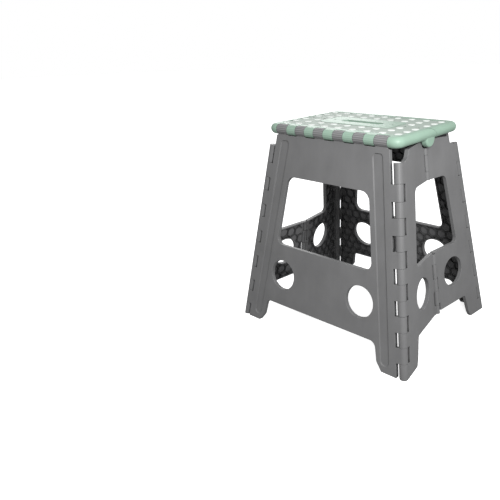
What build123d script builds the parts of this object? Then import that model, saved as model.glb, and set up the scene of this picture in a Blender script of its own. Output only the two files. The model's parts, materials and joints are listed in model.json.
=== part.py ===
from build123d import *
import os

os.makedirs("parts", exist_ok=True)

# ---------------------------------------------------------------- dimensions
# X runs along the long front panel, the front panel faces -Y, Z is up.
HEIGHT = 384.0          # tread height above the floor
TOP_X, TOP_Y = 141.0, 101.0        # half length and half depth of the top
RIM = 18.0              # depth of the rolled rim
RIM_R = 9.0             # radius of the rolled rim and of the edge hinge
CORNER_R = 18.0         # plan radius of the top's corners
PLATE = 3.5             # thickness of the tread plate under the rim's top
FIELD = 0.7             # depth of the anti-slip field below the rim's top
SEAM = 0.15             # half the gap between the two top halves

EDGE_Y, EDGE_Z = 92.0, 375.0       # edge hinge, top half to long panel
MID_Z = 362.7           # centre hinge of the top, just under the rim
EAR_R, EAR_Z = 14.0, 367.5         # round ear at each end of the centre hinge
ARC_R = 16.5            # seam round the ear in the end rim
EAR_X = 129.0           # inner face of the ears

FOOT = Vector(188.4, -147.6, 0)    # corner hinge line at floor level
HEAD = Vector(131.0, -89.3, 365)   # corner hinge line under the top
BARREL = 7.5            # radius of the corner hinge barrels
FOLD_IN = 8.0           # degrees each end panel half is already folded in
SKIN = 3.0              # panel skin
FLANGE = 2.4            # flange round every panel edge
CHANNEL = 1.8           # depth of the channels in the long panels' skin
INSET = 0.3             # panel flanges stop this far from the hinge plane

ROD, EDGE_ROD, PIN = 2.0, 2.5, 1.6  # hinge wire radii
FIT = 0.08              # running fit round a wire

KNUCKLES = [(21.0, 10.3), (62.5, 10.3), (105.5, 12.0)]   # edge hinge: centre, half width
BAR_PITCH, BAR_START, BAR_LEN = 53.3, 26.8, 27.4         # corner knuckles of a long panel
BAR_COUNT, BAR_TOP = 6, 353.5

MID_R = 5.2             # knuckles of the top's centre hinge
MID_FRONT = [(48.5, 62.8), (89.2, 112.0)]
MID_BACK = [(63.2, 88.8)]
NICKS = [63.0, 89.0, 116.0]        # small drain slots along the seam
SLOT_X, SLOT_Y = 44.0, 8.5         # half size of the hand slot
PLAIN_X, PLAIN_Y = 76.0, 33.0      # plain panel round the hand slot

DOT_R, DOT_PITCH = 6.2, 30.0
DOT_ROWS = [(19.0, [3, 4]), (45.0, [0, 1, 2, 3, 4]), (71.0, [0, 1, 2, 3, 4])]

PIVOT_R = 4.5           # barrels of the end panels' centre hinge
PIVOT_FRONT = [(48.5, 64.8), (93.3, 116.9), (144.6, 163.5), (297.0, 311.6), (339.7, 350.6)]
PIVOT_BACK = [(65.2, 92.9), (117.3, 144.2), (312.0, 339.3)]

# ---------------------------------------------------------------- directions
UP = (HEAD - FOOT).normalized()
LEG_OUT = Vector(1, 0, 0).cross(UP).normalized()
LEG_SLOPE = (FOOT.X - HEAD.X) / (Vector(0, HEAD.Y - FOOT.Y, HEAD.Z)).length
INBOARD = LEG_OUT.cross(UP)
COS, SIN = 0.9902681, 0.1391731    # cosine and sine of FOLD_IN
SIDE_OUT0 = UP.cross(Vector(0, 1, 0)).normalized() * -1
ACROSS0 = UP.cross(SIDE_OUT0)
SIDE_OUT = SIDE_OUT0 * COS + ACROSS0 * SIN
ACROSS = ACROSS0 * COS - SIDE_OUT0 * SIN

LEG = Plane(origin=(0, FOOT.Y, 0), x_dir=(1, 0, 0), z_dir=LEG_OUT)
CORNER = Plane(origin=FOOT, x_dir=INBOARD, z_dir=UP)
SIDE = Plane(origin=FOOT, x_dir=ACROSS, z_dir=SIDE_OUT)

PIVOT_SLOPE = -UP.Y / ACROSS.Y
PIVOT_S0 = (-FOOT.Y - BARREL * SIDE_OUT.Y) / ACROSS.Y
PIVOT_FOOT = FOOT + ACROSS * PIVOT_S0 + SIDE_OUT * BARREL
PIVOT_UP = (ACROSS * PIVOT_SLOPE + UP).normalized()
PIVOT = Plane(origin=PIVOT_FOOT, x_dir=SIDE_OUT.cross(PIVOT_UP), z_dir=PIVOT_UP)


# ---------------------------------------------------------------- helpers
def level(s, z):
    """height along an end panel of the point at world height z, s from the corner"""
    return (z - s * ACROSS.Z - BARREL * SIDE_OUT.Z) / UP.Z


def pivot_s(z, back=0.0):
    """distance from the corner of the end panel's centre line at height z"""
    v = level(PIVOT_S0, z)
    for _ in range(6):
        v = level(PIVOT_S0 + PIVOT_SLOPE * v, z)
    return (PIVOT_S0 + PIVOT_SLOPE * v - back, v)


def pivot_t(z):
    """distance along the end panel's centre hinge of the point at height z"""
    return (z - PIVOT_FOOT.Z) / PIVOT_UP.Z


def box(x0, x1, y0, y1, z0, z1):
    """box between two corners"""
    size = Box(x1 - x0, y1 - y0, z1 - z0)
    return Pos((x0 + x1) / 2, (y0 + y1) / 2, (z0 + z1) / 2) * size


def rod_z(r, z0, z1):
    """cylinder along Z"""
    return Pos(0, 0, (z0 + z1) / 2) * Cylinder(r, z1 - z0)


def rod_x(r, x0, x1, y, z):
    """cylinder along X"""
    return Pos((x0 + x1) / 2, y, z) * Rot(0, 90, 0) * Cylinder(r, x1 - x0)


def turn(a, b, c):
    """positive where the path a-b-c turns left"""
    return (b[0] - a[0]) * (c[1] - b[1]) - (b[1] - a[1]) * (c[0] - b[0])


def inset(points, t):
    """move every side of an anticlockwise outline inwards by t"""
    out = []
    for i, p in enumerate(points):
        a, c = points[i - 1], points[(i + 1) % len(points)]
        d1 = Vector(p[0] - a[0], p[1] - a[1]).normalized()
        d2 = Vector(c[0] - p[0], c[1] - p[1]).normalized()
        n1, n2 = Vector(-d1.Y, d1.X), Vector(-d2.Y, d2.X)
        k = t / (1 + n1.dot(n2))
        r = p[2] - t if turn(a, p, c) > 0 else p[2] + t
        out.append((p[0] + k * (n1.X + n2.X), p[1] + k * (n1.Y + n2.Y), max(r, 0.0)))
    return out


def outline(points):
    """face from an outline of (x, y, corner radius)"""
    ends, parts = [], []
    for i, p in enumerate(points):
        a, c = points[i - 1], points[(i + 1) % len(points)]
        b = Vector(p[0], p[1])
        d1 = (Vector(a[0], a[1]) - b).normalized()
        d2 = (Vector(c[0], c[1]) - b).normalized()
        if p[2] < 0.05 or abs(d1.dot(d2)) > 0.9999:
            ends.append((b, b))
            continue
        half = d1.get_angle(d2) / 2
        mid = (d1 + d2).normalized()
        tan = Vector(1, 0).rotate(Axis.Z, half)
        reach = p[2] * tan.X / tan.Y
        centre = b + mid * (p[2] / tan.Y)
        ends.append((b + d1 * reach, b + d2 * reach))
        parts.append(ThreePointArc(b + d1 * reach, centre - mid * p[2], b + d2 * reach))
    for i in range(len(ends)):
        q0, q1 = ends[i][1], ends[(i + 1) % len(ends)][0]
        if (q1 - q0).length > 1e-4:
            parts.append(Line(q0, q1))
    return make_face(parts)


def slab(face, d0, d1):
    """extrude a face of the local XY plane between two depths"""
    return extrude(Pos(0, 0, d0) * face, d1 - d0)


# ---------------------------------------------------------------- long panels
def leg_points(foot):
    """outline of a long panel, foot being the level the feet reach down to"""
    edge = FOOT.X - 10.63
    low, high = edge - LEG_SLOPE * foot, edge - LEG_SLOPE * 369.2
    return [(150, foot, 0), (low, foot, 0), (high, 369.2, 3), (-high, 369.2, 3), (-low, foot, 0),
            (-150, foot, 0), (-136, 14, 13), (-128.8, 47.6, 13), (128.8, 47.6, 13), (136, 14, 13)]


WINDOW = [(-109.3, 167.4, 13), (109.3, 167.4, 13), (89.7, 297.0, 18), (-89.7, 297.0, 18)]
HOLE_X, HOLE_W, HOLE_R = 90.0, 108.6, 28.5


def leg_skin():
    """skin, flanges, window and round holes"""
    body = slab(outline(leg_points(-4)), INSET, BARREL)
    hollow = slab(outline(inset(leg_points(1.5), FLANGE)), 0, BARREL - SKIN)
    hollow -= slab(outline(inset(WINDOW, -FLANGE)), 0, BARREL)
    body_cut = slab(outline(WINDOW), -1, 20)
    for s in (-1, 1):
        hollow -= Pos(s * HOLE_X, HOLE_W, 5) * Cylinder(HOLE_R + FLANGE, 12)
        body_cut += Pos(s * HOLE_X, HOLE_W, 5) * Cylinder(HOLE_R, 20)
    return body - hollow - body_cut


def leg_channel():
    """shallow channel beside each long edge, from above the foot to the edge hinge"""
    strip = [(144.6, 11, 8), (162.4, 11, 8), (109.2, 361, 8), (89.2, 361, 8)]
    tool = slab(outline(strip), BARREL - CHANNEL, BARREL + 4)
    return fillet(tool.faces().sort_by(Axis.Z)[0].edges(), 1.6)


def leg_barrels():
    """corner hinge knuckles of the right-hand edge"""
    part = None
    for i in range(BAR_COUNT):
        v0 = BAR_START + i * BAR_PITCH
        one = rod_z(BARREL, v0, v0 + BAR_LEN) + box(0, 12.6, 0.6, BARREL, v0, v0 + BAR_LEN)
        part = one if part is None else part + one
    return CORNER.location * part


def edge_knuckles():
    """knuckles of the edge hinge with the webs that carry them"""
    part = None
    for x, half in KNUCKLES:
        for s in (-1, 1):
            x0, x1 = s * x - half, s * x + half
            web = LEG.location * box(x0, x1, 360, 381, 1.2, BARREL)
            one = rod_x(RIM_R, x0, x1, -EDGE_Y, EDGE_Z) + web
            part = one if part is None else part + one
    return part


def leg_panel():
    """front long panel"""
    barrels = leg_barrels()
    channel = LEG.location * leg_channel()
    part = LEG.location * leg_skin() + barrels + mirror(barrels, about=Plane.YZ)
    part = part - channel - mirror(channel, about=Plane.YZ) + edge_knuckles()
    bore = CORNER.location * rod_z(ROD + FIT, -10, 380)
    part = part - bore - mirror(bore, about=Plane.YZ)
    part -= rod_x(EDGE_ROD + FIT, -150, 150, -EDGE_Y, EDGE_Z)
    return part - box(-300, 300, -300, 300, -30, 0)


# ---------------------------------------------------------------- end panels
def side_points(foot):
    """outline of half an end panel, foot being the level the foot reaches down to"""
    p = []
    for s, z, r in ((9.6, foot, 0), (39, foot, 0), (44.5, 11, 5), (48.5, 50, 6)):
        p.append((s, level(s, z), r))
    p.append(pivot_s(50, 0.8) + (1.0,))
    p.append(pivot_s(166.5, 0.8) + (1.0,))
    for s, z, r in ((46.5, 166.5, 8), (46.5, 296, 12)):
        p.append((s, level(s, z), r))
    p.append(pivot_s(296, 0.8) + (1.0,))
    p.append(pivot_s(351, 0.8) + (1.0,))
    p.append(pivot_s(351, 9.0) + (3.0,))
    p.append(pivot_s(361.5, 16.0) + (4.0,))
    for s, z, r in ((25, 361.5, 2), (19.5, 349.5, 9), (9.6, 346, 0)):
        p.append((s, level(s, z), r))
    return p


SIDE_HOLE = (72.0, 127.5, 28.0)


def side_barrels():
    """corner hinge barrels of half an end panel"""
    gap = BAR_PITCH - BAR_LEN
    spans = [(-4.0, BAR_START - 0.4)]
    for i in range(BAR_COUNT - 1):
        v0 = BAR_START + BAR_LEN + i * BAR_PITCH
        spans.append((v0 + 0.4, v0 + gap - 0.4))
    spans.append((BAR_START + BAR_COUNT * BAR_PITCH - gap + 0.4, BAR_TOP))
    part = None
    for v0, v1 in spans:
        one = Rot(-90, 0, 0) * rod_z(BARREL, v0, v1) + box(0, 12, v0, v1, 0.6, BARREL)
        part = one if part is None else part + one
    return part


def pivot_cut(spans):
    """room for the knuckles of the other half"""
    part = None
    for z0, z1 in spans:
        slip = max(0.0, 5.4 * (165 - z0) / 115)
        t0, t1 = pivot_t(z0) - 0.4, pivot_t(z1) + 0.4
        one = box(-5, PIVOT_R + 1.2 + slip, -12, 3, t0, t1)
        part = one if part is None else part + one
    return PIVOT.location * part


def pivot_knuckles(spans):
    """knuckles of the centre hinge that belong to this half"""
    part = None
    for z0, z1 in spans:
        t0, t1 = pivot_t(z0), pivot_t(z1)
        one = rod_z(PIVOT_R, t0, t1) + box(0.8, 9, -5.0, 0, t0, t1)
        part = one if part is None else part + one
    return PIVOT.location * part


def side_panel(own, other):
    """right-hand end panel half on the front side"""
    body = slab(outline(side_points(-4)), INSET, BARREL)
    hollow = slab(outline(inset(side_points(1.5), FLANGE)), 0, BARREL - SKIN)
    s, v, r = SIDE_HOLE
    hollow -= Pos(s, v, 5) * Cylinder(r + FLANGE, 12)
    body = body - hollow - Pos(s, v, 5) * Cylinder(r, 20) + side_barrels()
    part = SIDE.location * body
    part = part - pivot_cut(other) + pivot_knuckles(own)
    part -= CORNER.location * rod_z(ROD + FIT, -10, 380)
    part -= PIVOT.location * rod_z(PIN + FIT, -10, 380)
    return part - box(-300, 300, -300, 300, -30, 0)


def pivot_pins(spans):
    """short wires inside this half's centre hinge knuckles"""
    pins = [rod_z(PIN, pivot_t(z0), pivot_t(z1)) for z0, z1 in spans]
    return [PIVOT.location * p for p in pins]


# ---------------------------------------------------------------- top
def top_block():
    """both halves of the top as one rolled slab"""
    block = extrude(Pos(0, 0, HEIGHT - RIM) * RectangleRounded(2 * TOP_X, 2 * TOP_Y, CORNER_R), RIM)
    faces = block.faces().sort_by(Axis.Z)
    return fillet(faces[0].edges() + faces[-1].edges(), RIM_R - 0.1)


def slot(grow, z0, z1):
    """hand slot"""
    face = RectangleRounded(2 * (SLOT_X + grow), 2 * (SLOT_Y + grow), SLOT_Y + grow - 0.05)
    return slab(face, z0, z1)


def field():
    """sunk anti-slip field round the plain panel"""
    outer = RectangleRounded(254, 158.2, 9)
    plain = RectangleRounded(2 * PLAIN_X, 2 * PLAIN_Y, 11)
    return slab(outer - plain, HEIGHT - FIELD, HEIGHT + 1)


def hollow():
    """underside pocket of the front half"""
    pocket = box(-128, 128, -78.6, -3.4, 300, HEIGHT - PLATE)
    return pocket - slot(3.0, 300, HEIGHT)


def dot_places():
    """places of the inlaid dots on the front half"""
    for y, columns in DOT_ROWS:
        for c in columns:
            for s in ((-1, 1) if c else (1,)):
                yield (s * c * DOT_PITCH, -y)


def seam_arc(grow):
    """part of the end rim that the ear carries across the seam"""
    disc = Pos(0, 0, EAR_Z) * Rot(0, 90, 0) * Cylinder(ARC_R + grow, 400)
    disc -= box(-300, 300, -60, 60, 300, MID_Z + 0.2 - grow)
    return disc - box(-EAR_X + grow, EAR_X - grow, -60, 60, 300, 420)


def ears():
    """round ears of the front half round the centre hinge"""
    one = rod_x(EAR_R, EAR_X, TOP_X - 1.5, 0, EAR_Z)
    one = fillet(one.faces().sort_by(Axis.X)[-1].edges(), 3.0)
    return one + mirror(one, about=Plane.YZ)


def mid_knuckles(spans, side, grow=0.0):
    """knuckles of the top's centre hinge, side -1 for the front half"""
    part = None
    for x0, x1 in spans:
        for s in (-1, 1):
            a, b = sorted((s * x0, s * x1))
            one = rod_x(MID_R + grow, a - grow, b + grow, 0, MID_Z)
            if not grow:
                y0, y1 = sorted((side * SEAM, side * MID_R))
                one += box(a, b, y0, y1, MID_Z, HEIGHT - PLATE + 0.5)
            part = one if part is None else part + one
    return part


def edge_gaps():
    """room in the front rim for the knuckles of the long panel"""
    part = None
    for x, half in KNUCKLES:
        for s in (-1, 1):
            one = rod_x(RIM_R + 0.4, s * x - half - 0.6, s * x + half + 0.6, -EDGE_Y, EDGE_Z)
            part = one if part is None else part + one
    return part


def half_top(block):
    """front half without its centre hinge: rim, plate, slot, field, dot seats"""
    part = block & box(-200, 200, -200, -SEAM, 300, 420)
    part = part - hollow() - slot(0, 300, 420) - field() - edge_gaps()
    for x in NICKS:
        for s in (-1, 1):
            part -= box(s * x - 1.6, s * x + 1.6, -2.6, 1, HEIGHT - 6, HEIGHT + 10)
    for x, y in dot_places():
        part -= Pos(x, y, HEIGHT - 1) * Cylinder(DOT_R + 0.03, 2)
    return part - rod_x(EDGE_ROD + FIT, -126, 126, -EDGE_Y, EDGE_Z)


def top_halves():
    """front and back halves of the top"""
    block = top_block()
    half = half_top(block)
    cross = block & box(-200, 200, -1, 60, 300, 420) & seam_arc(0)
    front = half + cross + ears() + mid_knuckles(MID_FRONT, -1)
    front -= mid_knuckles(MID_BACK, -1, 0.4)
    back = mirror(half, about=Plane.XZ) + mid_knuckles(MID_BACK, 1)
    back = back - mid_knuckles(MID_FRONT, 1, 0.4) - seam_arc(0.4)
    room = rod_x(EAR_R + 0.5, EAR_X - 0.4, 150, 0, EAR_Z)
    back = back - room - mirror(room, about=Plane.YZ)
    bore = rod_x(ROD + FIT, -136.2, 136.2, 0, MID_Z)
    return front - bore, back - bore


def dots():
    """inlaid dots of the front half"""
    return [Pos(x, y, HEIGHT - 1) * Cylinder(DOT_R, 2) for x, y in dot_places()]


# ---------------------------------------------------------------- nodes
def save(name, solids):
    """write one node"""
    solids = solids if isinstance(solids, list) else [solids]
    shape = solids[0] if len(solids) == 1 else Compound(children=solids)
    shape.label = name
    export_step(shape, f"parts/{name}.step")


def flip(shapes):
    """half turn about the vertical axis"""
    return [Rot(0, 0, 180) * s for s in shapes]


def across(shapes):
    """mirror front to back"""
    return [mirror(s, about=Plane.XZ) for s in shapes]


leg = leg_panel()
save("leg_front", leg)
save("leg_back", mirror(leg, about=Plane.XZ))

side_f = side_panel(PIVOT_FRONT, PIVOT_BACK)
side_b = mirror(side_panel(PIVOT_BACK, PIVOT_FRONT), about=Plane.XZ)
save("end_right_front", side_f)
save("end_right_back", side_b)
save("end_left_back", flip([side_f]))
save("end_left_front", flip([side_b]))

top_front, top_back = top_halves()
save("top_front", top_front)
save("top_back", top_back)
save("dots_front", dots())
save("dots_back", across(dots()))

corner_rod = CORNER.location * rod_z(ROD, 2.0, 352.5)
save("corner_rod_right_front", corner_rod)
save("corner_rod_right_back", across([corner_rod]))
save("corner_rod_left_back", flip([corner_rod]))
save("corner_rod_left_front", flip(across([corner_rod])))

edge_rod = rod_x(EDGE_ROD, -125.6, 125.6, -EDGE_Y, EDGE_Z)
save("edge_rod_front", edge_rod)
save("edge_rod_back", across([edge_rod]))

save("mid_rod_right", rod_x(ROD, 48.6, 135.8, 0, MID_Z))
save("mid_rod_left", rod_x(ROD, -135.8, -48.6, 0, MID_Z))

pins = pivot_pins(PIVOT_FRONT)
save("end_pins_right_low", pins[:3])
save("end_pins_right_high", pins[3:])
save("end_pins_left_low", flip(pins[:3]))
save("end_pins_left_high", flip(pins[3:]))
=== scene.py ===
import json
from math import atan2, cos, pi, radians, sin, sqrt, tan

import bmesh
import bpy
from mathutils import Matrix, Vector


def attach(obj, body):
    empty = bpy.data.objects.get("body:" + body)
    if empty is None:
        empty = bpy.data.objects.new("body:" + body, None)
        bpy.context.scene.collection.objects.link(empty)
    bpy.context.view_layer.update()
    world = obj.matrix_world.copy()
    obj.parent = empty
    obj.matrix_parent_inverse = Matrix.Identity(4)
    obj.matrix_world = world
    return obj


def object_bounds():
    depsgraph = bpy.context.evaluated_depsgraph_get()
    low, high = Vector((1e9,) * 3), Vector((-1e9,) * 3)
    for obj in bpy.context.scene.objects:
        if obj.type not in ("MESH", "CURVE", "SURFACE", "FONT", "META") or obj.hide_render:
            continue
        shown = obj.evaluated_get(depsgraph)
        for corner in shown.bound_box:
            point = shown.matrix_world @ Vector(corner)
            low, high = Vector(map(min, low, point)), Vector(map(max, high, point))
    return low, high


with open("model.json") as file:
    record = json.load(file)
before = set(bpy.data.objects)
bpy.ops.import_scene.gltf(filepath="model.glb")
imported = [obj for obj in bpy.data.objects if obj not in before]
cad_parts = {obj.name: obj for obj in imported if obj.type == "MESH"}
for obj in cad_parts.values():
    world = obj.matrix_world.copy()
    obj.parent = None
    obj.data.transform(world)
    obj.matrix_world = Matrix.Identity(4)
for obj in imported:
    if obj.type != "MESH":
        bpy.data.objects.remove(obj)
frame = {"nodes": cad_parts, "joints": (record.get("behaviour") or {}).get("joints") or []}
cad_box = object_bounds()

MM = 0.001

# ---------------------------------------------------------------- the stool's own lines
joints = {j["name"]: j for j in frame["joints"]}
CORNER_FOOT = Vector(joints["corner_right_front"]["pos_m"])
CORNER_UP = Vector(joints["corner_right_front"]["axis"]).normalized()
EDGE_Y = abs(joints["edge_front"]["pos_m"][1])
EDGE_Z = joints["edge_front"]["pos_m"][2]
TREAD_Z = cad_box[1].z
FOLD_IN = radians(8.0)      # how far each end panel half is folded in at rest
BARREL = 7.5                # radius of the corner hinge barrels, mm
RIM_R = 9.0                 # radius of the rolled rim and its edge hinge, mm
HINGE_RUN = 119             # half length of the edge hinge, mm
FIELD_X, FIELD_Y = 127.3, 79.3      # half sizes of the anti-slip field, mm
FIELD_LOW, FIELD_HIGH = 0.95, 0.4   # depths between which the field lies under the tread, mm

LEG_OUT = Vector((1, 0, 0)).cross(CORNER_UP).normalized()
LEG_UP = Vector((0, CORNER_UP.y, CORNER_UP.z)).normalized()
LEG_EDGE = 177.77           # half width of a long panel at the floor, mm
LEG_TAPER = 0.15529         # half width lost per mm up the panel
LEG_TOP = 369.2             # height of a long panel along its slope, mm

SIDE_SQUARE = -CORNER_UP.cross(Vector((0, 1, 0))).normalized()
SIDE_LEVEL = CORNER_UP.cross(SIDE_SQUARE)
SIDE_OUT = SIDE_SQUARE * cos(FOLD_IN) + SIDE_LEVEL * sin(FOLD_IN)
ACROSS = SIDE_LEVEL * cos(FOLD_IN) - SIDE_SQUARE * sin(FOLD_IN)


def lay(x_dir, y_dir, z_dir, origin):
    """matrix that lays a flat panel's own x, y and depth into the stool"""
    turn = Matrix((x_dir, y_dir, z_dir)).transposed().to_4x4()
    return Matrix.Translation(origin) @ turn


FRONT_TO_BACK = Matrix.Diagonal((1, -1, 1, 1))
HALF_TURN = Matrix.Diagonal((-1, -1, 1, 1))
LEG_LAY = lay(Vector((1, 0, 0)), LEG_UP, LEG_OUT, Vector((0, CORNER_FOOT.y, 0)))
SIDE_LAY = lay(ACROSS, CORNER_UP, SIDE_OUT, CORNER_FOOT)
LONG_PANELS = (("leg_front", Matrix()), ("leg_back", FRONT_TO_BACK))
END_HALVES = (("end_right_front", Matrix()), ("end_right_back", FRONT_TO_BACK),
              ("end_left_back", HALF_TURN), ("end_left_front", HALF_TURN @ FRONT_TO_BACK))
TOP_HALVES = (("top_front", Matrix()), ("top_back", FRONT_TO_BACK))


def side_height(s, z):
    """height along an end panel of the place s from its corner hinge at height z, in mm"""
    return (z - s * ACROSS.z - BARREL * SIDE_OUT.z) / CORNER_UP.z


# ---------------------------------------------------------------- node helpers
def node_maker(tree):
    """short calls for building one node tree"""
    def make(kind, **values):
        node = tree.nodes.new("ShaderNode" + kind)
        for key, value in values.items():
            setattr(node, key, value)
        return node

    def join(a, b):
        tree.links.new(a, b)

    def math(operation, a, b=None, c=None, clamp=False):
        node = make("Math", operation=operation, use_clamp=clamp)
        for i, value in enumerate((a, b, c)):
            if value is None:
                continue
            if isinstance(value, (int, float)):
                node.inputs[i].default_value = value
            else:
                join(value, node.inputs[i])
        return node.outputs[0]

    return make, join, math


def new_group(name, inputs, outputs):
    """empty shader node group with named sockets"""
    tree = bpy.data.node_groups.new(name, "ShaderNodeTree")
    for label, kind, value in inputs:
        socket = tree.interface.new_socket(label, in_out="INPUT", socket_type="NodeSocket" + kind)
        if value is not None:
            socket.default_value = value
    for label, kind in outputs:
        tree.interface.new_socket(label, in_out="OUTPUT", socket_type="NodeSocket" + kind)
    return tree, tree.nodes.new("NodeGroupInput"), tree.nodes.new("NodeGroupOutput")


def ramp(make, join, value, start, end, kind="SMOOTHSTEP"):
    """0 at the start value, 1 at the end value"""
    node = make("MapRange", interpolation_type=kind)
    node.inputs["From Min"].default_value = start
    node.inputs["From Max"].default_value = end
    join(value, node.inputs["Value"])
    return node.outputs[0]


def noise(make, join, place, scale, detail):
    """noise of one scale over a place; the scale is a number or a socket"""
    node = make("TexNoise")
    node.inputs["Detail"].default_value = detail
    join(place, node.inputs["Vector"])
    if isinstance(scale, (int, float)):
        node.inputs["Scale"].default_value = scale
    else:
        join(scale, node.inputs["Scale"])
    return node


def moulded_grain():
    """fine spark grain of a moulding and the slow change of shade across it"""
    tree, inp, out = new_group(
        "moulded grain",
        [("Grain size", "Float", 0.7), ("Patch size", "Float", 45.0), ("Flow", "Float", 0.3)],
        [("Height", "Float"), ("Shade", "Float"), ("Fine", "Float")])
    make, join, math = node_maker(tree)
    place = make("TexCoord").outputs["Object"]
    grain, patch_size = inp.outputs["Grain size"], inp.outputs["Patch size"]
    fine = noise(make, join, place, math("DIVIDE", 1000.0, grain), 3.0)
    coarse = noise(make, join, place, math("DIVIDE", 420.0, grain), 2.0)
    patch = noise(make, join, place, math("DIVIDE", 1000.0, patch_size), 4.0)
    patch.inputs["Roughness"].default_value = 0.55
    streak = make("Mapping")
    streak.inputs["Scale"].default_value = (1.0, 1.0, 0.18)
    join(place, streak.inputs["Vector"])
    flow = noise(make, join, streak.outputs[0], 60.0, 2.0)
    height = math("ADD", math("MULTIPLY", fine.outputs[0], 0.6),
                  math("MULTIPLY", coarse.outputs[0], 0.4))
    join(height, out.inputs["Height"])
    shade = math("ADD", patch.outputs[0],
                 math("MULTIPLY", math("SUBTRACT", flow.outputs[0], 0.5), inp.outputs["Flow"]))
    join(shade, out.inputs["Shade"])
    join(fine.outputs[0], out.inputs["Fine"])
    return tree


def rounded_edge_and_highlight():
    """rounded look of moulded edges and a painted highlight along them, broken up in patches"""
    tree, inp, out = new_group(
        "rounded edge and highlight", [("Radius", "Float", 0.0008), ("Rub", "Float", 0.5)],
        [("Edge", "Float"), ("Normal", "Vector")])
    make, join, math = node_maker(tree)
    bevel = make("Bevel", samples=6)
    join(inp.outputs["Radius"], bevel.inputs["Radius"])
    flat = make("NewGeometry")
    dot = make("VectorMath", operation="DOT_PRODUCT")
    join(bevel.outputs[0], dot.inputs[0])
    join(flat.outputs["Normal"], dot.inputs[1])
    bent = ramp(make, join, dot.outputs["Value"], 0.995, 0.86)
    # noise that breaks the painted edge highlight into patches
    highlight_patches = noise(make, join, make("TexCoord").outputs["Object"], 160.0, 5.0)
    patchy = math("ADD", 1.0, math("MULTIPLY", math("SUBTRACT", highlight_patches.outputs[0], 0.5),
                                   math("MULTIPLY", inp.outputs["Rub"], 4.0)), clamp=True)
    # Edge: where a highlight is painted along the rounded edges
    join(math("MULTIPLY", bent, patchy, clamp=True), out.inputs["Edge"])
    join(bevel.outputs[0], out.inputs["Normal"])
    return tree


def barrel_lines():
    """fine lines along the rolled edge hinge, 1 on the barrels and 0 elsewhere"""
    tree, inp, out = new_group(
        "barrel lines", [("Lines", "Float", 16.0)], [("Line", "Float")])
    make, join, math = node_maker(tree)
    apart = make("SeparateXYZ")
    join(make("TexCoord").outputs["Object"], apart.inputs[0])
    y = math("SUBTRACT", math("ABSOLUTE", apart.outputs[1]), EDGE_Y)
    z = math("SUBTRACT", apart.outputs[2], EDGE_Z)
    reach = math("SQRT", math("ADD", math("MULTIPLY", y, y), math("MULTIPLY", z, z)))
    near = math("LESS_THAN", math("ABSOLUTE", math("SUBTRACT", reach, RIM_R * MM)), 0.3 * MM)
    inside = math("LESS_THAN", math("ABSOLUTE", apart.outputs[0]), HINGE_RUN * MM)
    barrel = math("MULTIPLY", near, inside)
    angle = math("ARCTAN2", z, y)
    wave = math("SINE", math("MULTIPLY", angle, inp.outputs["Lines"]))
    line = math("POWER", math("MULTIPLY", math("ADD", wave, 1.0), 0.5), 3.0)
    join(math("MULTIPLY", line, barrel), out.inputs["Line"])
    return tree


def facing():
    """1 where a surface faces the given way in the piece's own frame"""
    tree, inp, out = new_group(
        "facing", [("Way", "Vector", (0, 0, 1))], [("Facing", "Float")])
    make, join, math = node_maker(tree)
    dot = make("VectorMath", operation="DOT_PRODUCT")
    join(make("TexCoord").outputs["Normal"], dot.inputs[0])
    join(inp.outputs["Way"], dot.inputs[1])
    join(ramp(make, join, dot.outputs["Value"], 0.4, 0.8), out.inputs["Facing"])
    return tree


def tread_field():
    """1 on the sunk anti-slip field of the tread, with its knurl as a height"""
    tree, inp, out = new_group(
        "tread field", [("Knurl", "Float", 2.2)], [("Field", "Float"), ("Height", "Float")])
    make, join, math = node_maker(tree)
    apart = make("SeparateXYZ")
    join(make("TexCoord").outputs["Object"], apart.inputs[0])
    x, y, z = apart.outputs

    def band(value, low, high):
        return math("MULTIPLY", math("GREATER_THAN", value, low), math("LESS_THAN", value, high))

    level = band(z, TREAD_Z - FIELD_LOW * MM, TREAD_Z - FIELD_HIGH * MM)
    inside = math("MULTIPLY", math("LESS_THAN", math("ABSOLUTE", x), FIELD_X * MM),
                  math("LESS_THAN", math("ABSOLUTE", y), FIELD_Y * MM))
    field = math("MULTIPLY", level, inside)
    turn = math("DIVIDE", 2 * pi * 1000, inp.outputs["Knurl"])
    a = math("SINE", math("MULTIPLY", math("ADD", x, y), turn))
    b = math("SINE", math("MULTIPLY", math("SUBTRACT", x, y), turn))
    height = math("ADD", math("MULTIPLY", math("MULTIPLY", a, b), 0.5), 0.5)
    join(field, out.inputs["Field"])
    join(math("MULTIPLY", height, field), out.inputs["Height"])
    return tree


def crevice_shade():
    """where shade is painted: 1 deep in narrow gaps, 0 on open faces"""
    tree, inp, out = new_group("crevice_shade", [("Reach", "Float", 0.007)], [("Gap", "Float")])
    make, join, math = node_maker(tree)
    shut = make("AmbientOcclusion", samples=8)
    join(inp.outputs["Reach"], shut.inputs["Distance"])
    join(ramp(make, join, shut.outputs["AO"], 0.68, 0.22), out.inputs["Gap"])
    return tree


GRAIN = moulded_grain()
EDGE_AND_HIGHLIGHT = rounded_edge_and_highlight()
LINES = barrel_lines()
FACING = facing()
FIELD = tread_field()
CREVICE_SHADE = crevice_shade()


def use(tree, make, **values):
    """one placed group with its own values"""
    node = make("Group", node_tree=tree)
    for key, value in values.items():
        node.inputs[key.replace("_", " ")].default_value = value
    return node


def mix_colour(make, join, factor, a, b):
    """mix of two colours or sockets"""
    node = make("Mix", data_type="RGBA")
    for socket, value in ((node.inputs[0], factor), (node.inputs[6], a), (node.inputs[7], b)):
        if isinstance(value, (int, float)):
            socket.default_value = value
        elif isinstance(value, tuple):
            socket.default_value = (*value, 1.0)
        else:
            join(value, socket)
    return node.outputs[2]


def finish_material(name):
    """new material with its Principled node and tools"""
    mat = bpy.data.materials.new(name)
    mat.use_nodes = True
    tree = mat.node_tree
    make, join, math = node_maker(tree)
    shader = tree.nodes["Principled BSDF"]
    return mat, shader, make, join, math


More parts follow.
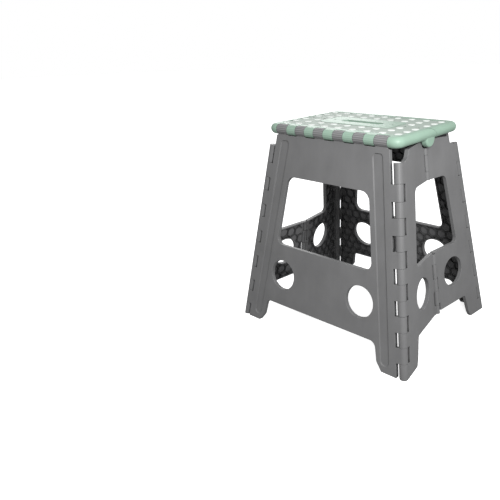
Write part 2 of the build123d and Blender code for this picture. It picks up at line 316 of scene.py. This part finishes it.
def shade_steps(make, join, colour, shade, spread):
    """colour pulled lighter and darker by the moulding's shade"""
    lighter = tuple(min(1.0, c * (1 + spread)) for c in colour)
    darker = tuple(c * (1 - spread) for c in colour)
    step = ramp(make, join, shade, 0.3, 0.7, "LINEAR")
    return mix_colour(make, join, step, darker, lighter)


def relief(make, join, shader, height, strength, depth, normal=None):
    """surface relief from a height, over the rounded edges' normal if there is one"""
    bump = make("Bump")
    bump.inputs["Strength"].default_value = strength
    bump.inputs["Distance"].default_value = depth
    join(height, bump.inputs["Height"])
    if normal:
        join(normal, bump.inputs["Normal"])
    join(bump.outputs[0], shader.inputs["Normal"])


def speckled(make, join, math, shader, grain, smoothest, spread):
    """roughness that varies with the fine grain"""
    rough = math("ADD", smoothest, math("MULTIPLY", grain.outputs["Fine"], spread))
    join(rough, shader.inputs["Roughness"])


GREY = (0.168, 0.168, 0.170)
# lighter grey painted on as a highlight along edges and on the edge hinge's lines
GREY_HIGHLIGHT = (0.36, 0.36, 0.365)
# inner face painted a little darker as shade
GREY_INSIDE_SHADE = (0.160, 0.160, 0.163)
# near black painted as shade deep in narrow gaps
GAP_SHADE_GREY = (0.008, 0.008, 0.008)
# ribs painted darker than the panel as shade
RIB_GREY_SHADE = (0.070, 0.070, 0.072)
# lighter rib grey painted on as a highlight along the ribs' edges
RIB_HIGHLIGHT = (0.11, 0.11, 0.113)
GREEN = (0.275, 0.405, 0.320)
# lighter green painted on as a highlight along edges and on the edge hinge's lines
GREEN_HIGHLIGHT = (0.44, 0.56, 0.48)
GREEN_FIELD = (0.355, 0.420, 0.375)
GREEN_KNURL = (0.42, 0.50, 0.44)
# dark green painted as shade deep in narrow gaps
GAP_SHADE_GREEN = (0.015, 0.035, 0.022)
WHITE = (0.78, 0.82, 0.79)
WHITE_SOILED = (0.62, 0.64, 0.62)
STEEL = (0.56, 0.56, 0.57)
GREY_LINE_RISE = 7.0        # depth of the edge hinge's lines, in heights of the grain
GREEN_LINE_RISE = 4.0


def panel_plastic(name, inward):
    """satin grey panel moulding; its inner face is rougher and painted a little darker as shade,
    with painted shade in narrow gaps and painted highlights on edges and hinge lines
    """
    mat, shader, make, join, math = finish_material(name)
    grain = use(GRAIN, make, Grain_size=0.75, Patch_size=60.0, Flow=0.5)
    edge = use(EDGE_AND_HIGHLIGHT, make, Radius=0.9 * MM, Rub=0.35)
    line = use(LINES, make, Lines=16.0).outputs["Line"]
    inside = use(FACING, make, Way=tuple(inward)).outputs["Facing"]
    gap_shade = use(CREVICE_SHADE, make, Reach=7 * MM).outputs["Gap"]
    colour = shade_steps(make, join, GREY, grain.outputs["Shade"], 0.07)
    # painted highlight on the ridges of the edge hinge's lines
    colour = mix_colour(make, join, math("MULTIPLY", line, 0.6), colour, GREY_HIGHLIGHT)
    # painted highlight along the rounded edges
    edge_highlight = math("MULTIPLY", edge.outputs["Edge"], 0.42)
    colour = mix_colour(make, join, edge_highlight, colour, GREY_HIGHLIGHT)
    # inner face painted a little darker as shade
    colour = mix_colour(make, join, inside, colour, GREY_INSIDE_SHADE)
    # painted shade deep in narrow gaps
    colour = mix_colour(make, join, math("MULTIPLY", gap_shade, 0.92), colour, GAP_SHADE_GREY)
    join(colour, shader.inputs["Base Color"])
    rough = math("ADD", 0.40, math("MULTIPLY", grain.outputs["Fine"], 0.14))
    join(math("ADD", rough, math("MULTIPLY", inside, 0.15)), shader.inputs["Roughness"])
    shader.inputs["Specular IOR Level"].default_value = 0.45
    height = math("ADD", grain.outputs["Height"], math("MULTIPLY", line, GREY_LINE_RISE))
    relief(make, join, shader, height, 0.35, 0.12 * MM, edge.outputs["Normal"])
    return mat


def rib_plastic():
    """inner ribs, painted dark grey as shade, with a painted highlight along their edges"""
    mat, shader, make, join, math = finish_material("rib plastic")
    grain = use(GRAIN, make, Grain_size=0.9, Patch_size=30.0, Flow=0.2)
    edge = use(EDGE_AND_HIGHLIGHT, make, Radius=0.35 * MM, Rub=0.5)
    # ribs painted dark as shade
    colour = shade_steps(make, join, RIB_GREY_SHADE, grain.outputs["Shade"], 0.15)
    # painted highlight along the ribs' rounded edges
    edge_highlight = math("MULTIPLY", edge.outputs["Edge"], 0.5)
    join(mix_colour(make, join, edge_highlight, colour, RIB_HIGHLIGHT), shader.inputs["Base Color"])
    speckled(make, join, math, shader, grain, 0.46, 0.2)
    relief(make, join, shader, grain.outputs["Height"], 0.4, 0.12 * MM, edge.outputs["Normal"])
    return mat


def tread_plastic():
    """sage green tread with its knurled field, with painted shade in narrow gaps and painted
    highlights on edges and hinge lines
    """
    mat, shader, make, join, math = finish_material("tread plastic")
    grain = use(GRAIN, make, Grain_size=0.7, Patch_size=55.0, Flow=0.3)
    edge = use(EDGE_AND_HIGHLIGHT, make, Radius=0.9 * MM, Rub=0.5)
    line = use(LINES, make, Lines=16.0).outputs["Line"]
    field = use(FIELD, make, Knurl=2.4)
    knurl = field.outputs["Height"]
    gap_shade = use(CREVICE_SHADE, make, Reach=6 * MM).outputs["Gap"]
    colour = shade_steps(make, join, GREEN, grain.outputs["Shade"], 0.05)
    colour = mix_colour(make, join, field.outputs["Field"], colour, GREEN_FIELD)
    colour = mix_colour(make, join, math("MULTIPLY", knurl, 0.25), colour, GREEN_KNURL)
    # painted highlight on the ridges of the edge hinge's lines
    colour = mix_colour(make, join, math("MULTIPLY", line, 0.25), colour, GREEN_HIGHLIGHT)
    # painted highlight along the rounded edges
    edge_highlight = math("MULTIPLY", edge.outputs["Edge"], 0.35)
    colour = mix_colour(make, join, edge_highlight, colour, GREEN_HIGHLIGHT)
    # painted shade deep in narrow gaps
    colour = mix_colour(make, join, math("MULTIPLY", gap_shade, 0.85), colour, GAP_SHADE_GREEN)
    join(colour, shader.inputs["Base Color"])
    rough = math("ADD", 0.36, math("MULTIPLY", grain.outputs["Fine"], 0.14))
    rough = math("ADD", rough, math("MULTIPLY", field.outputs["Field"], 0.16))
    join(rough, shader.inputs["Roughness"])
    shader.inputs["Specular IOR Level"].default_value = 0.45
    height = math("ADD", grain.outputs["Height"], math("MULTIPLY", line, GREEN_LINE_RISE))
    height = math("ADD", height, math("MULTIPLY", knurl, 3.0))
    relief(make, join, shader, height, 0.4, 0.12 * MM, edge.outputs["Normal"])
    return mat


def dot_rubber():
    """white rubber dots, a little greyed by feet"""
    mat, shader, make, join, math = finish_material("dot rubber")
    grain = use(GRAIN, make, Grain_size=0.5, Patch_size=18.0, Flow=0.1)
    edge = use(EDGE_AND_HIGHLIGHT, make, Radius=0.5 * MM, Rub=0.3)
    colour = shade_steps(make, join, WHITE, grain.outputs["Shade"], 0.05)
    soiled = math("MULTIPLY", grain.outputs["Fine"], 0.12)
    join(mix_colour(make, join, soiled, colour, WHITE_SOILED), shader.inputs["Base Color"])
    speckled(make, join, math, shader, grain, 0.62, 0.2)
    relief(make, join, shader, grain.outputs["Height"], 0.5, 0.1 * MM, edge.outputs["Normal"])
    return mat


def hinge_wire():
    """drawn steel wire in the hinges"""
    mat, shader, make, join, math = finish_material("hinge wire")
    grain = use(GRAIN, make, Grain_size=0.4, Patch_size=12.0, Flow=0.6)
    colour = shade_steps(make, join, STEEL, grain.outputs["Shade"], 0.12)
    join(colour, shader.inputs["Base Color"])
    shader.inputs["Metallic"].default_value = 1.0
    speckled(make, join, math, shader, grain, 0.24, 0.22)
    relief(make, join, shader, grain.outputs["Height"], 0.2, 0.05 * MM)
    return mat


def dress(node, material):
    """give one of the stool's parts its finish"""
    part = frame["nodes"][node]
    slots = part.data.materials
    if len(slots) == 0:
        slots.append(material)
    for i in range(len(slots)):
        slots[i] = material
    for slot in part.material_slots:
        slot.material = material


for group, out_way in ((LONG_PANELS, LEG_OUT), (END_HALVES, SIDE_OUT)):
    for node, mirror in group:
        dress(node, panel_plastic("panel plastic " + node, mirror.to_3x3() @ -out_way))
TREAD = tread_plastic()
DOTS = dot_rubber()
WIRE = hinge_wire()
RIBS = rib_plastic()
for node in frame["nodes"]:
    if node.startswith("top_"):
        dress(node, TREAD)
    elif node.startswith("dots_"):
        dress(node, DOTS)
    elif "rod" in node or "pins" in node:
        dress(node, WIRE)


# ---------------------------------------------------------------- honeycomb ribs
RIB_PITCH = 19.6            # across the flats of one cell, mm
RIB_THICK = 1.5
PANEL_RIBS = (0.7, 4.6)     # depths between which the ribs of a panel stand
TOP_RIBS = (367.0, 380.8)   # heights between which the ribs of the top stand
RIM_CLEAR = 1.4             # room kept to the edges of a panel
NOTCH_CLEAR = 13            # room kept to the centre hinge's notches
LEG_ROUND = 28.5            # radii of the round holes
SIDE_ROUND = 28.0
SHARP = 0.05                # a corner radius below this is a sharp corner
CORNER_STEPS = 6


def rounded(points):
    """fine outline of a flat shape given as (x, y, corner radius), in mm"""
    out = []
    for i, (x, y, r) in enumerate(points):
        b = Vector((x, y))
        d1 = (Vector(points[i - 1][:2]) - b).normalized()
        d2 = (Vector(points[(i + 1) % len(points)][:2]) - b).normalized()
        half = d1.angle(d2) / 2
        if r < SHARP:
            out.append(b)
            continue
        middle = b + (d1 + d2).normalized() * (r / sin(half))
        start, end = b + d1 * (r / tan(half)), b + d2 * (r / tan(half))
        for k in range(CORNER_STEPS + 1):
            p = start.lerp(end, k / CORNER_STEPS) - middle
            out.append(middle + p.normalized() * r)
    return out


def within(shape, p):
    """true where p lies inside the outline"""
    hit = False
    for i in range(len(shape)):
        a, b = shape[i - 1], shape[i]
        if (a.y > p.y) != (b.y > p.y):
            if p.x < (b.x - a.x) * (p.y - a.y) / (b.y - a.y) + a.x:
                hit = not hit
    return hit


def room_for_ribs(outline, windows, rounds, rim):
    """test that says where ribs may stand: rim inside the outline, clear of windows and holes"""
    shape = rounded(outline)
    holes = [rounded(w) for w in windows]

    def clear(p):
        for dx, dy in ((rim, 0), (-rim, 0), (0, rim), (0, -rim)):
            q = p + Vector((dx, dy))
            if not within(shape, q) or any(within(h, q) for h in holes):
                return False
        return all((p - Vector(c)).length > r + rim for c, r in rounds)
    return clear


def kept_run(a, b, clear, steps=9):
    """longest part of the wall a-b that stands clear"""
    best, start = None, None
    for k in range(steps + 1):
        ok = clear(a.lerp(b, k / steps))
        if ok and start is None:
            start = k
        if start is not None and (not ok or k == steps):
            last = k if ok else k - 1
            if best is None or last - start > best[1] - best[0]:
                best = (start, last)
            start = None
    if best is None or best[1] == best[0]:
        return None
    return a.lerp(b, best[0] / steps), a.lerp(b, best[1] / steps)


def stand_wall(bm, a, b, low, high):
    """one thin upright wall on the line a-b"""
    run = b - a
    size = Matrix.Diagonal((run.length + RIB_THICK * 0.5, RIB_THICK, high - low, 1))
    turn = Matrix.Rotation(atan2(run.y, run.x), 4, "Z")
    place = Matrix.Translation(((a.x + b.x) / 2, (a.y + b.y) / 2, (low + high) / 2))
    bmesh.ops.create_cube(bm, size=1.0, matrix=place @ turn @ size)


def honeycomb(body, panel, clear, low, high, depths, finish):
    """honeycomb of ribs on the inner side of a panel, over the field from low to high"""
    name = "ribs_" + body
    bm = bmesh.new()
    side = RIB_PITCH / sqrt(3)
    corner = [Vector((cos(radians(a)), sin(radians(a)))) * side for a in (-30, 30, 90, 150)]
    rows = int((high[1] - low[1]) / (side * 1.5)) + 2
    columns = int((high[0] - low[0]) / RIB_PITCH) + 2
    for j in range(rows):
        for i in range(columns):
            middle = Vector((low[0] + RIB_PITCH * (i + 0.5 * (j % 2)), low[1] + side * 1.5 * j))
            for k in range(3):
                run = kept_run(middle + corner[k], middle + corner[k + 1], clear)
                if run:
                    stand_wall(bm, run[0], run[1], depths[0], depths[1])
    bmesh.ops.scale(bm, vec=(MM, MM, MM), verts=bm.verts)
    bmesh.ops.transform(bm, matrix=panel, verts=bm.verts)
    bmesh.ops.recalc_face_normals(bm, faces=bm.faces)
    mesh = bpy.data.meshes.new(name)
    bm.to_mesh(mesh)
    bm.free()
    piece = bpy.data.objects.new(name, mesh)
    bpy.context.scene.collection.objects.link(piece)
    mesh.materials.append(finish)
    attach(piece, body)


def leg_room():
    """where ribs may stand on a long panel"""
    low, high = LEG_EDGE - LEG_TAPER * 2, LEG_EDGE - LEG_TAPER * LEG_TOP
    outline = [(150, 1, 0), (low, 1, 0), (high, LEG_TOP, 3), (-high, LEG_TOP, 3), (-low, 1, 0),
               (-150, 1, 0), (-136, 14, 13), (-128.8, 47.6, 13), (128.8, 47.6, 13), (136, 14, 13)]
    window = [(-109.3, 167.4, 13), (109.3, 167.4, 13), (89.7, 297.0, 18), (-89.7, 297.0, 18)]
    rounds = [((90, 108.6), LEG_ROUND), ((-90, 108.6), LEG_ROUND)]
    return room_for_ribs(outline, [window], rounds, RIM_CLEAR)


def side_room():
    """where ribs may stand on an end panel half, clear of the centre hinge's notches"""
    corners = ((9.6, 1, 0), (39, 1, 0), (44.5, 11, 5), (48.5, 50, 6), (139.5, 50, 1),
               (120.5, 166.5, 1), (46.5, 166.5, 8), (46.5, 296, 12), (98.8, 296, 1),
               (89.2, 351, 1), (72.0, 361.5, 4), (25, 361.5, 2), (19.5, 349.5, 9), (9.6, 346, 0))
    outline = [(s, side_height(s, z), r) for s, z, r in corners]
    clear = room_for_ribs(outline, [], [((72.0, 127.5), SIDE_ROUND)], RIM_CLEAR)

    def kept(p):
        centre_line = 149.9 - 0.1595 * p.y
        return clear(p) and p.x < centre_line - NOTCH_CLEAR
    return kept


def top_room():
    """where ribs may stand under a half of the top, clear of the hand slot"""
    outline = [(-128, -78.6, 0), (128, -78.6, 0), (128, -3.4, 0), (-128, -3.4, 0)]
    slot = [(-47, -11.5, 0), (47, -11.5, 0), (47, 12, 0), (-47, 12, 0)]
    return room_for_ribs(outline, [slot], [], 0.2)


LEG_ROOM, SIDE_ROOM, TOP_ROOM = leg_room(), side_room(), top_room()
for body, mirror in LONG_PANELS:
    honeycomb(body, mirror @ LEG_LAY, LEG_ROOM, (-180, 0), (180, 372), PANEL_RIBS, RIBS)
for body, mirror in END_HALVES:
    honeycomb(body, mirror @ SIDE_LAY, SIDE_ROOM, (4, 0), (150, 385), PANEL_RIBS, RIBS)
for body, mirror in TOP_HALVES:
    honeycomb(body, mirror, TOP_ROOM, (-130, -84), (130, 4), TOP_RIBS, TREAD)


# ---------------------------------------------------------------- studio
AMBIENT = 0.68              # strength of the white surroundings as the stool sees them
FLOOR_BOUNCE = (0.3, 0.3, 0.3)
FLOOR_GLOW = (0.8, 0.8, 0.8)
FLOOR_RADIUS = 9.0
AIM = (0, 0, 0.3)
# name, place, power and size of each lamp
LAMPS = (("key lamp", (0.62, -0.46, 0.66), 6.5, 0.35),
         ("fill lamp", (-0.8, 0.8, 0.6), 3.0, 0.6))


def pale_floor():
    """plain pale floor just under the feet; it throws little light back at the stool"""
    bm = bmesh.new()
    bmesh.ops.create_circle(bm, cap_ends=True, segments=96, radius=FLOOR_RADIUS)
    mesh = bpy.data.meshes.new("floor")
    bm.to_mesh(mesh)
    bm.free()
    piece = bpy.data.objects.new("floor", mesh)
    piece.location.z = -0.2 * MM
    bpy.context.scene.collection.objects.link(piece)
    mat, shader, make, join, math = finish_material("pale floor")
    grain = use(GRAIN, make, Grain_size=3.0, Patch_size=900.0, Flow=0.0)
    colour = shade_steps(make, join, (0.975, 0.975, 0.975), grain.outputs["Shade"], 0.01)
    seen = make("LightPath").outputs["Is Camera Ray"]
    join(mix_colour(make, join, seen, FLOOR_BOUNCE, colour), shader.inputs["Base Color"])
    glow = mix_colour(make, join, seen, (0, 0, 0), FLOOR_GLOW)
    join(glow, shader.inputs["Emission Color"])
    shader.inputs["Emission Strength"].default_value = 1.0
    shader.inputs["Roughness"].default_value = 0.9
    shader.inputs["Specular IOR Level"].default_value = 0.1
    mesh.materials.append(mat)


def studio():
    """white surroundings, a soft lamp from the upper right and a fill from behind"""
    world = bpy.data.worlds.new("studio")
    bpy.context.scene.world = world
    world.use_nodes = True
    make, join, math = node_maker(world.node_tree)
    back = world.node_tree.nodes["Background"]
    back.inputs["Color"].default_value = (1.0, 1.0, 1.0, 1.0)
    seen = make("LightPath").outputs["Is Camera Ray"]
    join(math("ADD", AMBIENT, math("MULTIPLY", seen, 1.0 - AMBIENT)), back.inputs["Strength"])
    for name, place, power, size in LAMPS:
        data = bpy.data.lights.new(name, "AREA")
        data.energy = power
        data.shape, data.size = "DISK", size
        lamp = bpy.data.objects.new(name, data)
        lamp.location = place
        lamp.rotation_euler = (Vector(place) - Vector(AIM)).to_track_quat("Z", "Y").to_euler()
        lamp.visible_camera = False
        bpy.context.scene.collection.objects.link(lamp)
    bpy.context.scene.view_settings.view_transform = "Standard"


CAMERA_PLACE = (0.54206, -0.74907, 0.52661)
CAMERA_YAW, CAMERA_PITCH, CAMERA_ROLL = 38.13, 22.29, -1.19
CAMERA_LENS = 36.46
CAMERA_SHIFT = (-0.19, -0.012)


def camera():
    """looks down on the tread from beyond the front right corner"""
    yaw, pitch, roll = radians(CAMERA_YAW), radians(CAMERA_PITCH), radians(CAMERA_ROLL)
    ahead = Vector((-sin(yaw) * cos(pitch), cos(yaw) * cos(pitch), -sin(pitch)))
    right = ahead.cross(Vector((0, 0, 1))).normalized()
    up = right.cross(ahead)
    tilt_right = right * cos(roll) + up * sin(roll)
    tilt_up = up * cos(roll) - right * sin(roll)
    data = bpy.data.cameras.new("camera")
    data.sensor_width = 36.0
    data.lens = CAMERA_LENS
    data.shift_x, data.shift_y = CAMERA_SHIFT
    data.clip_start, data.clip_end = 0.01, 60
    cam = bpy.data.objects.new("camera", data)
    cam.matrix_world = lay(tilt_right, tilt_up, -ahead, Vector(CAMERA_PLACE))
    bpy.context.scene.collection.objects.link(cam)
    bpy.context.scene.camera = cam


pale_floor()
studio()
camera()
